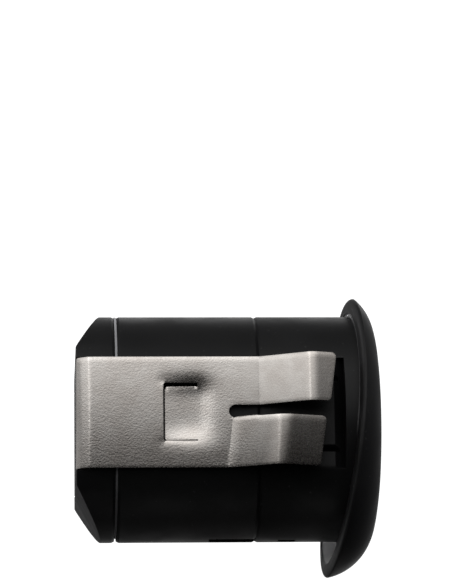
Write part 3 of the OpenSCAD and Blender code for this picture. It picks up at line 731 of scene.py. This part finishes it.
seal_low, seal_high = box_mm("rear_seal")
pale_rubber = plain_finish("pale_rubber", (0.4, 0.4, 0.415), (0.5, 0.5, 0.515), 0.6, 800.0, 5000.0)
seal_inset, seal_wall = 0.22, 1.6
rear_gasket = solid("rear_gasket", *skin([
    barrel_section(seal_low.x, seal_inset),
    barrel_section(seal_high.x, seal_inset),
    barrel_section(seal_high.x, seal_wall, edge_round=0.5),
    barrel_section(seal_low.x, seal_wall, edge_round=0.5),
], looped=True))
gasket_rise = 0.2
rear_gasket.data.transform(Matrix.Translation((0, 0, gasket_rise * MM)))
complete(rear_gasket, pale_rubber, "seal", "rear_seal", sharp=20)


# The rear cap: a black moulding with a sloped facet above and below, a recess at each side for a
# clip's hook, and the plug socket with its two coding ribs.

def slice_off(piece, point, normal, edge):
    """Cuts the piece flat at a plane and eases the edge of the cut."""
    work = bmesh.new()
    work.from_mesh(piece.data)
    cut = bmesh.ops.bisect_plane(
        work, geom=work.verts[:] + work.edges[:] + work.faces[:], plane_co=Vector(point) * MM, plane_no=normal,
        clear_outer=True,
    )
    rim = [e for e in cut["geom_cut"] if isinstance(e, bmesh.types.BMEdge)]
    bmesh.ops.holes_fill(work, edges=rim, sides=0)
    bmesh.ops.recalc_face_normals(work, faces=work.faces)
    easing = dict(segments=3, profile=0.5, affect="EDGES", clamp_overlap=True)
    bmesh.ops.bevel(work, geom=rim, offset=edge * MM, **easing)
    work.to_mesh(piece.data)
    work.free()


def rear_moulding():
    """The cap with its facets, the socket with a back wall, and a recess for each hook."""
    rear_x, front_x = box_mm("rear_cap")[0].x, seal_low.x
    face_half, facet_len, edge, facet_edge = 7.0, 2.6, 0.25, 0.12
    moulding = solid("rear_moulding", *skin([
        barrel_section(rear_x, edge),
        barrel_section(rear_x + 0.3 * edge, 0.3 * edge),
        barrel_section(rear_x + edge),
        barrel_section(front_x - 2 * seam_bevel),
        barrel_section(front_x, seam_bevel),
    ]))
    slope = Vector((-(barrel_r - face_half), 0, facet_len)).normalized()
    for up in (1, -1):
        slice_off(moulding, (rear_x, 0, up * face_half), (slope.x, 0, up * slope.z), facet_edge)

    socket_w, socket_h, socket_depth, socket_round, rib_h, rib_w = 10.4, 8.2, 6.6, 1.0, 0.6, 0.8
    ring = []
    for sy, sz, start in ((1, 1, 0), (-1, 1, 90), (-1, -1, 180), (1, -1, 270)):
        for turn in range(0, 91, 15):
            a = math.radians(start + turn)
            ring.append((sy * (socket_w / 2 - socket_round) + socket_round * math.cos(a),
                         sz * (socket_h / 2 - socket_round) + socket_round * math.sin(a)))
    lip = 0.3
    flared = [(y * (1 + 2 * lip / socket_w), z * (1 + 2 * lip / socket_h)) for y, z in ring]
    socket = solid("socket", *skin([
        [(rear_x - 1, y, z) for y, z in flared],
        [(rear_x, y, z) for y, z in flared],
        [(rear_x + lip, y, z) for y, z in ring],
        [(rear_x + socket_depth, y, z) for y, z in ring],
    ]))
    ribs = [
        block("rib", (rear_x - 2, side * socket_w / 4 - rib_w / 2, socket_h / 2 - rib_h),
              (rear_x + socket_depth + 1, side * socket_w / 4 + rib_w / 2, socket_h / 2 + 2))
        for side in (-1, 1)
    ]
    combine(socket, "DIFFERENCE", *ribs)
    hook_t, hook_in, hook_half, hook_bend = 0.53, 3.1, 5.75, 1.0
    hook_floor_x = rear_x + hook_t
    out_x, out_y = rear_x - 1, flat_y + 2
    recesses = [socket]
    for side in (-1, 1):
        room_shape = [
            (out_x, flat_y - hook_in), (hook_floor_x, flat_y - hook_in),
            (hook_floor_x, flat_y - hook_bend), (hook_floor_x + hook_bend, flat_y),
            (hook_floor_x + hook_bend, out_y), (out_x, out_y),
        ]
        recesses.append(solid("hook_recess", *skin([
            [(x, side * y, z) for x, y in room_shape] for z in (-hook_half, hook_half)
        ])))
    combine(moulding, "DIFFERENCE", *recesses)
    back = block("socket_back", (front_x - 1, -socket_w / 2 - 1, -socket_h / 2 - 1),
                 (rear_x + socket_depth + 0.9, socket_w / 2 + 1, socket_h / 2 + 1))
    pocket = block("socket_room", (front_x - 3, -socket_w / 2, -socket_h / 2),
                   (rear_x + socket_depth, socket_w / 2, socket_h / 2))
    combine(back, "DIFFERENCE", pocket)
    combine(moulding, "UNION", back)
    return moulding


complete(rear_moulding(), plastic, "housing", "rear_cap", sharp=25)


# The contact pins: square tin-plated brass wire, bent up to the board at the inner end and fixed
# in the floor of the socket. They stand in a row in its lower half.

def pin_tree():
    """Bends square wire along a path and repeats it in a row."""
    sizes = (("Width", "Float"), ("Bend radius", "Float"), ("Pitch", "Float"), ("Count", "Int"))
    tree, given = geometry_tree("pin_row", "Path", sizes, "Pins")
    path = add_node(tree, "GeometryNodeMeshToCurve", {"Mesh": given["Path"]})
    bend = {"Curve": path.outputs[0], "Radius": given["Bend radius"], "Count": 6}
    bent = add_node(tree, "GeometryNodeFilletCurve", bend, mode="POLY")
    square = {"Width": given["Width"], "Height": given["Width"]}
    wire = add_node(tree, "GeometryNodeCurvePrimitiveQuadrilateral", square, mode="RECTANGLE")
    swept = {"Curve": bent.outputs[0], "Profile Curve": wire.outputs[0], "Fill Caps": True}
    pin = add_node(tree, "GeometryNodeCurveToMesh", swept)
    offset = add_node(tree, "ShaderNodeCombineXYZ", {"Y": given["Pitch"]})
    steps = {"Count": given["Count"], "Offset": offset.outputs[0]}
    row = add_node(tree, "GeometryNodeMeshLine", steps, mode="OFFSET")
    placed = {"Points": row.outputs[0], "Instance": pin.outputs[0]}
    pins = add_node(tree, "GeometryNodeInstanceOnPoints", placed)
    end_tree(tree, pins.outputs[0], given["Finish"], "Pins")
    return tree


tin_plate = plain_finish("tin_plate", (0.55, 0.52, 0.44), (0.68, 0.65, 0.57), 0.28, 900.0, 5000.0, metallic=1.0)
pin_nodes = [f"contact_pin_{i}" for i in (1, 2, 3)]
pin_low, pin_high = box_mm(pin_nodes[2])
pin_w = pin_high.y - pin_low.y
pin_pitch = box_mm(pin_nodes[1])[0].y - pin_low.y
pin_y = (pin_low.y + pin_high.y) / 2
pin_bend_r = 0.5
bar_z, leg_x = pin_low.z + pin_w / 2, pin_high.x - pin_w / 2
pin_mesh = bpy.data.meshes.new("contact_pins")
pin_mesh.from_pydata(
    [(x * MM, pin_y * MM, z * MM) for x, z in ((pin_low.x, bar_z), (leg_x, bar_z), (leg_x, pin_high.z))],
    [(0, 1), (1, 2)],
    [],
)
contact_pins = add_object("contact_pins", pin_mesh)
pin_row = contact_pins.modifiers.new("pin_row", "NODES")
pin_row.node_group = pin_tree()
set_inputs(pin_row, pin_row.node_group, {
    "Width": pin_w * MM, "Bend radius": pin_bend_r * MM, "Pitch": pin_pitch * MM,
    "Count": len(pin_nodes), "Finish": tin_plate,
})
bake(contact_pins)
turn_outwards(contact_pins.data)
complete(contact_pins, tin_plate, "contacts", *pin_nodes)


# The spring clips: blanked and bent from half-millimetre spring steel, one at each side. A hook
# holds the rear, a lanced tang springs into the barrel's side, and two fingers grip behind the panel.

def spring_steel():
    """Bare spring steel with a fine pebbled grain and faint stains."""
    material, tree, shader, place = new_finish("spring_steel")
    stain = fade(tree, noise(tree, place, 420.0, 5.0, 0.6), 0.3, 0.7, 0.0, 1.0)
    tone = mixed_tone(tree, stain, (0.57, 0.53, 0.495, 1.0), (0.67, 0.637, 0.603, 1.0))
    rolled = add_node(tree, "ShaderNodeMapping", {"Vector": place, "Scale": (0.8, 1.0, 1.0)})
    pebble = noise(tree, rolled.outputs[0], 6200.0, 2.0)
    along = add_node(tree, "ShaderNodeSeparateXYZ", {0: place}).outputs["X"]
    worn = fade(tree, along, -0.012, -0.008, 0.9, 0.3)
    sheen = fade(tree, pebble, 0.3, 0.7, 0.22, 0.3)
    dress_shader(tree, shader, tone, sheen, pebble, strength=worn, depth=0.000019)
    shader.inputs["Metallic"].default_value = 1.0
    return material


steel = spring_steel()
clip_low, clip_high = box_mm("right_clip")
clip_t, clip_gap = 0.5, 0.03
clip_half = clip_high.z
clip_y = flat_y + clip_gap + clip_t / 2
hook_turn, hook_flat, hook_bend_r = math.radians(28), 0.78, 0.74
hook_arc = hook_bend_r * (math.pi / 2 - hook_turn)
flat_run, flat_drop = hook_flat * math.cos(hook_turn), hook_flat * math.sin(hook_turn)
hook_bend_x = clip_low.x + clip_t / 2 + flat_run + hook_bend_r * (1 - math.sin(hook_turn))
hook_straight = clip_y - flat_drop - hook_bend_r * math.cos(hook_turn) + clip_high.y
hook_end_s = hook_bend_x - hook_flat - hook_arc - hook_straight
slot_half, slot_end_x = 0.68, -11.65
tang_half, tang_hinge_x, tang_free_x, tang_press, tang_curl = 3.0, -14.75, -18.25, 0.5, 1.2
tang_top, tang_low, tang_end_x = 2.62, -2.86, -18.04
bow = 0.0085
dish_depth, dish_half, dish_x, dish_z, dish_ahead, dish_behind = 0.5, 3.0, -15.05, 0.25, 1.7, 3.6
dish_end, dish_side_in, dish_side_run = 0.5, 0.35, 0.5
ramp_twist, twist_run, untwist_start, untwist_run = 0.075, 1.2, 3.4, 1.8
die_roll, edge_r = 0.04, 0.16


def rounded_outline(corner_list, spacing):
    """Closed outline of (x, z, radius) corners, with its corners rounded and its sides divided."""
    count, arc_steps = len(corner_list), 6
    outline = []
    for i, (x, z, r) in enumerate(corner_list):
        here = Vector((x, z))
        before = (Vector(corner_list[i - 1][:2]) - here).normalized()
        after = (Vector(corner_list[(i + 1) % count][:2]) - here).normalized()
        if not r:
            outline.append(here)
            continue
        half = before.angle(after) / 2
        centre = here + (before + after).normalized() * (r / math.sin(half))
        start = here + before * (r / math.tan(half)) - centre
        end = here + after * (r / math.tan(half)) - centre
        for k in range(arc_steps + 1):
            spoke = start.lerp(end, k / arc_steps)
            outline.append(centre + spoke.normalized() * r)
    divided = []
    for i, a in enumerate(outline):
        b = outline[(i + 1) % len(outline)]
        parts = max(1, math.ceil((b - a).length / spacing))
        divided += [a.lerp(b, k / parts) for k in range(parts)]
    return divided


def path_height(path, peak_r):
    """Height over distance along a bent strip, with a tight first bend and a soft second one."""
    line = [Vector(path[0])]
    crease_r, bend_steps = 0.12, 12
    for a, b, c, bend_r in zip(path, path[1:], path[2:], (crease_r, peak_r)):
        a, b, c = Vector(a), Vector(b), Vector(c)
        into, out = (b - a).normalized(), (c - b).normalized()
        turn = into.angle_signed(out)
        reach = bend_r * math.tan(abs(turn) / 2)
        for k in range(bend_steps + 1):
            s = k / bend_steps
            start, end = b - into * reach, b + out * reach
            line.append(start.lerp(b, s).lerp(b.lerp(end, s), s))
    line.append(Vector(path[-1]))

    def height(u):
        for p, q in zip(line, line[1:]):
            if u <= q.x:
                return p.y + (q.y - p.y) * max(u - p.x, 0.0) / (q.x - p.x)
        return line[-1].y

    return height


def finger_path(run, rise, nose_slope):
    """A flat lead-in, a ramp and a nose that falls away."""
    spare = 9.0
    nose_drop = spare * math.tan(math.radians(nose_slope))
    return [(-spare, 0.0), (0.0, 0.0), (run, rise), (run + spare, rise - nose_drop)]


long_bend_x, short_bend_x, short_skew = -8.5, -11.45, math.radians(7)
long_height = path_height(finger_path(run=5.1, rise=2.8, nose_slope=17), peak_r=1.25)
short_height = path_height(finger_path(run=5.05, rise=2.45, nose_slope=19), peak_r=1.9)


def inside(point, outline):
    """Whether a point lies within an outline."""
    odd = False
    for a, b in zip(outline, outline[1:] + outline[:1]):
        if (a.y > point.y) != (b.y > point.y):
            if point.x < a.x + (b.x - a.x) * (point.y - a.y) / (b.y - a.y):
                odd = not odd
    return odd


def clamped(share):
    """A share held between none and all."""
    return min(max(share, 0.0), 1.0)


def soft_step(share):
    """A share that starts and ends gently."""
    share = clamped(share)
    return share * share * (3 - 2 * share)


def clip_lift(x, z):
    """How far the sheet's middle stands off the plate's plane."""
    lift = bow * (clip_half**2 - z * z)
    along = (x - dish_x) / (dish_ahead if x > dish_x else dish_behind)
    past_end = max(tang_free_x - x, 0.0)
    across = (z - dish_z) / dish_half
    dish = dish_depth * math.exp(-(across**4) - along**2 - (past_end / dish_end) ** 2)
    cut_x = (tang_free_x + tang_end_x) / 2
    if x < cut_x:
        dish *= clamped((abs(z) - tang_half + dish_side_in) / dish_side_run)
    lift -= dish
    if (tang_low - tang_half) / 2 < z < (tang_top + tang_half) / 2 and cut_x < x < tang_hinge_x:
        lift -= tang_press * ((tang_hinge_x - x) / (tang_hinge_x - tang_free_x)) ** tang_curl
    if z > 0:
        return lift + long_height(x - long_bend_x)
    middle_z = -clip_half / 2
    u = (x - short_bend_x) * math.cos(short_skew) - (z - middle_z) * math.sin(short_skew)
    twist = ramp_twist * (clamped(u / twist_run) - soft_step((u - untwist_start) / untwist_run))
    return lift + short_height(u) + twist * (z - middle_z)


def clip_blank():
    """The flat blank of a clip as triangles: its outline with the slot, less the tang's cut."""
    slant, spacing = math.tan(math.radians(8)), 0.3
    tip_r, hook_r, tang_r, kerf_r = 0.42, 0.3, 0.3, 0.35
    seat = math.tan(seat_tilt)
    finger_w = clip_half - slot_half
    long_gap, short_gap = 1.44, 1.9
    long_out_x = clip_half * seat - long_gap
    short_in_x = -slot_half * seat - short_gap
    slot_turn = [math.radians(a) for a in range(90, 271, 15)]
    slot_x = slot_end_x + slot_half
    slot_round = [(slot_x + slot_half * math.cos(a), slot_half * math.sin(a), 0.0) for a in slot_turn]
    blank = rounded_outline([
        (hook_end_s, -clip_half, hook_r),
        (short_in_x - finger_w * slant, -clip_half, tip_r),
        (short_in_x, -slot_half, tip_r),
        *slot_round[::-1],
        (long_out_x - finger_w * slant, slot_half, tip_r),
        (long_out_x, clip_half, tip_r),
        (hook_end_s, clip_half, hook_r),
    ], spacing)
    kerf = rounded_outline([
        (tang_hinge_x, -tang_half, 0.0), (tang_hinge_x, tang_low, 0.0),
        (tang_end_x, tang_low, tang_r), (tang_end_x, tang_top, tang_r),
        (tang_hinge_x, tang_top, 0.0), (tang_hinge_x, tang_half, 0.0),
        (tang_free_x, tang_half, kerf_r), (tang_free_x, -tang_half, kerf_r),
    ], spacing)
    points, edges = [], []
    for outline in (blank, kerf):
        first = len(points)
        points += outline
        edges += [(first + i, first + (i + 1) % len(outline)) for i in range(len(outline))]
    lean = math.tan(short_skew)
    crease_half = 0.1
    hook_in_x, hook_out_x = hook_bend_x - crease_half, hook_bend_x + crease_half
    creases = (
        ((long_bend_x, slot_half), (long_bend_x, clip_half)),
        ((short_bend_x + (clip_half / 2 - slot_half) * lean, -slot_half),
         (short_bend_x - clip_half / 2 * lean, -clip_half)),
        ((hook_in_x, -clip_half), (hook_in_x, clip_half)),
        ((hook_out_x, -clip_half), (hook_out_x, clip_half)),
    )
    for crease in creases:
        start, end = (Vector(p) for p in crease)
        first, parts = len(points), math.ceil((end - start).length / spacing)
        points += [start.lerp(end, k / parts) for k in range(parts + 1)]
        edges += [(first + k, first + k + 1) for k in range(parts)]
    border, clearance = list(points), 0.45 * spacing

    def in_sheet(p):
        return inside(p, blank) and not inside(p, kerf)

    rows, columns = int(2 * clip_half / spacing), int(-hook_end_s / spacing)
    for i in range(columns):
        for j in range(1, rows):
            p = Vector((hook_end_s + (i + 0.5 * (j % 2)) * spacing, -clip_half + j * 2 * clip_half / rows))
            if in_sheet(p) and min((p - b).length for b in border) > clearance:
                points.append(p)
    flat, _, triangles, *_ = delaunay_2d_cdt(points, edges, [], 1, 1e-6)
    kept = []
    for t in triangles:
        middle = sum((flat[i] for i in t), Vector((0, 0))) / 3
        if in_sheet(middle):
            kept.append(t)
    return flat, kept


def hook_point(run):
    """Place and slope of the sheet on the hook: a short slant, a bend and a straight end."""
    if run < hook_flat:
        return hook_bend_x - run * math.cos(hook_turn), clip_y - run * math.sin(hook_turn), hook_turn
    a = min(hook_turn + (run - hook_flat) / hook_bend_r, math.pi / 2)
    x = hook_bend_x - flat_run - hook_bend_r * (math.sin(a) - math.sin(hook_turn))
    y = clip_y - flat_drop - hook_bend_r * (math.cos(hook_turn) - math.cos(a))
    return x, y - max(run - hook_flat - hook_arc, 0.0), a


def spring_clip(name, side, node):
    """A clip on one side: its blank is bent, its upper edges drawn down, then it gets its thickness."""
    flat, triangles = clip_blank()
    points = []
    for p in flat:
        s, z = p
        if s >= hook_bend_x:
            x, y = s, clip_y + clip_lift(s, z)
        else:
            x, y, a = hook_point(hook_bend_x - s)
            y += bow * (clip_half**2 - z * z) * math.cos(a)
        points.append((x * MM, side * y * MM, z * MM))
    mesh = bpy.data.meshes.new(name)
    mesh.from_pydata(points, [], triangles)
    work = bmesh.new()
    work.from_mesh(mesh)
    bmesh.ops.delete(work, geom=[v for v in work.verts if not v.link_faces], context="VERTS")
    bmesh.ops.recalc_face_normals(work, faces=work.faces)
    plate_x = -21.0
    plate_middle = Vector((plate_x, side * clip_y, 0.0)) * MM
    middle = min(work.faces, key=lambda f: (f.calc_center_median() - plate_middle).length)
    if middle.normal.y * side < 0:
        bmesh.ops.reverse_faces(work, faces=work.faces)
    work.normal_update()
    for point in work.verts:
        sheet_below = all(face.calc_center_median().z < point.co.z for face in point.link_faces)
        if point.is_boundary and sheet_below:
            point.co -= point.normal * die_roll * MM
    work.to_mesh(mesh)
    work.free()
    piece = add_object(name, mesh)
    sheet = piece.modifiers.new("thickness", "SOLIDIFY")
    sheet.thickness = clip_t * MM
    sheet.offset = 0.0
    edge = piece.modifiers.new("rolled_edge", "BEVEL")
    edge.width = edge_r * MM
    edge.segments = 5
    edge.limit_method = "ANGLE"
    edge.angle_limit = math.radians(60)
    bake(piece)
    complete(piece, steel, "spring_steel", node, sharp=24)


spring_clip("right_spring_clip", -1, "right_clip")
spring_clip("left_spring_clip", 1, "left_clip")
